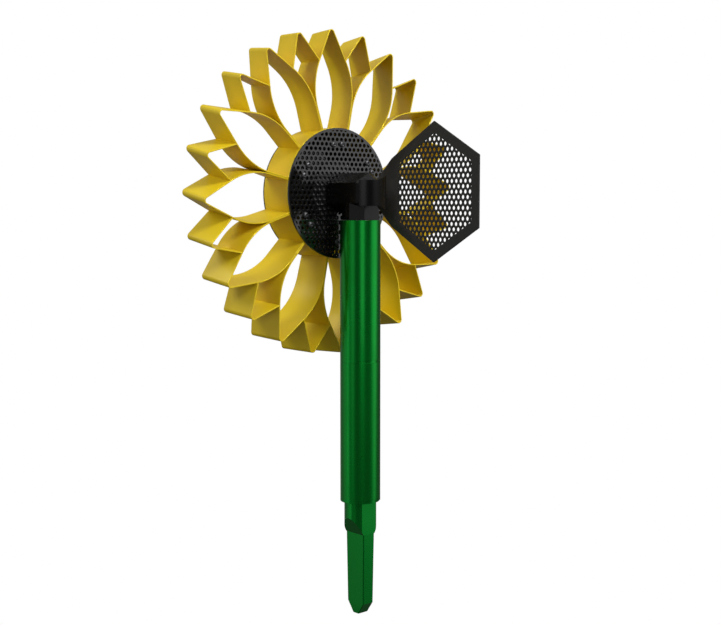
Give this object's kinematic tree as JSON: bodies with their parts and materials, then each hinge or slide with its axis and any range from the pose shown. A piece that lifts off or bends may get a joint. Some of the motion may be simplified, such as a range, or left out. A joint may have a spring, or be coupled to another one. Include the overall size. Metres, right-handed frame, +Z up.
{
  "type": "garden wind turbine",
  "caption": "Sunflower-shaped garden wind turbine: bent-strip petals between two discs turn on a head that swivels on a staked post, steered by a hexagonal perforated tail vane.",
  "frame": {"origin": "on the post's axis at the ground line, which is the lower post tube's bottom rim, where the stake starts", "axes": "+Z up the post, +Y toward the tail vane, the flower faces -Y with its shaft along Y"},
  "size_m": [0.404, 0.2959, 0.729],
  "materials": {
    "green_paint": "glossy metallic green paint",
    "petal_yellow": "satin yellow coating on sheet aluminium",
    "black_paint": "semi-gloss black coating on cast aluminium",
    "black_disc": "glossy black coating on sheet",
    "black_vane": "semi-gloss black coating on perforated sheet",
    "black_hub": "matt black coating",
    "black_screw": "blackened steel",
    "bare_aluminium": "machined",
    "bearing_steel": "ground",
    "spring_steel": "dark spring steel",
    "turned_steel": "turned",
    "slip_ring_plastic": "moulded",
    "stator_iron": "stacked laminations",
    "copper": "enamelled copper winding",
    "magnet": "nickel-plated magnets"
  },
  "bodies": {
    "post": {"ground_stake": "green_paint", "lower_post_tube": "green_paint", "upper_post_tube": "green_paint", "post_joiner": "green_paint", "yaw_bearing_housing": "bare_aluminium", "yaw_bearing_outer_races": "bearing_steel", "yaw_bearing_balls": "bearing_steel", "yaw_housing_ring": "spring_steel", "slip_ring_body": "slip_ring_plastic"},
    "head": {"head_housing": "black_paint", "yaw_shaft": "turned_steel", "yaw_bearing_inner_races": "bearing_steel", "yaw_shaft_ring": "spring_steel", "slip_ring_spindle": "slip_ring_plastic", "shaft_bearing_outer_races": "bearing_steel", "shaft_bearing_balls": "bearing_steel", "rear_bearing_carrier": "bare_aluminium", "generator_stator": "stator_iron", "generator_coils": "copper", "tail_boom": "black_paint", "tail_vane": "black_vane", "tail_pin": "black_screw"},
    "flower": {"rotor_shaft": "turned_steel", "rotor_hub": "black_hub", "shaft_spacer": "turned_steel", "rear_disc": "black_disc", "front_disc": "black_disc", "spacer_blocks": "black_hub", "rear_disc_screws": "black_screw", "front_disc_screws": "black_screw", "shaft_washer": "turned_steel", "shaft_nut": "turned_steel", "shaft_bearing_inner_races": "bearing_steel", "generator_core": "stator_iron", "generator_magnets": "magnet", "petal_01": "petal_yellow", "petal_02": "petal_yellow", "petal_03": "petal_yellow", "petal_04": "petal_yellow", "petal_05": "petal_yellow", "petal_06": "petal_yellow", "petal_07": "petal_yellow", "petal_08": "petal_yellow", "petal_09": "petal_yellow", "petal_10": "petal_yellow", "petal_11": "petal_yellow", "petal_12": "petal_yellow", "leaf_01": "petal_yellow", "leaf_02": "petal_yellow", "leaf_03": "petal_yellow", "leaf_04": "petal_yellow", "leaf_05": "petal_yellow", "leaf_06": "petal_yellow", "leaf_07": "petal_yellow", "leaf_08": "petal_yellow", "leaf_09": "petal_yellow", "leaf_10": "petal_yellow", "leaf_11": "petal_yellow", "leaf_12": "petal_yellow"}
  },
  "joints": [
    {"name": "head_yaw", "type": "hinge", "parent": "post", "child": "head", "pos_m": [0, 0, 0.35], "axis": [0, 0, 1], "continuous": true},
    {"name": "flower_spin", "type": "hinge", "parent": "head", "child": "flower", "pos_m": [0, 0, 0.3832], "axis": [0, 1, 0], "continuous": true}
  ]
}
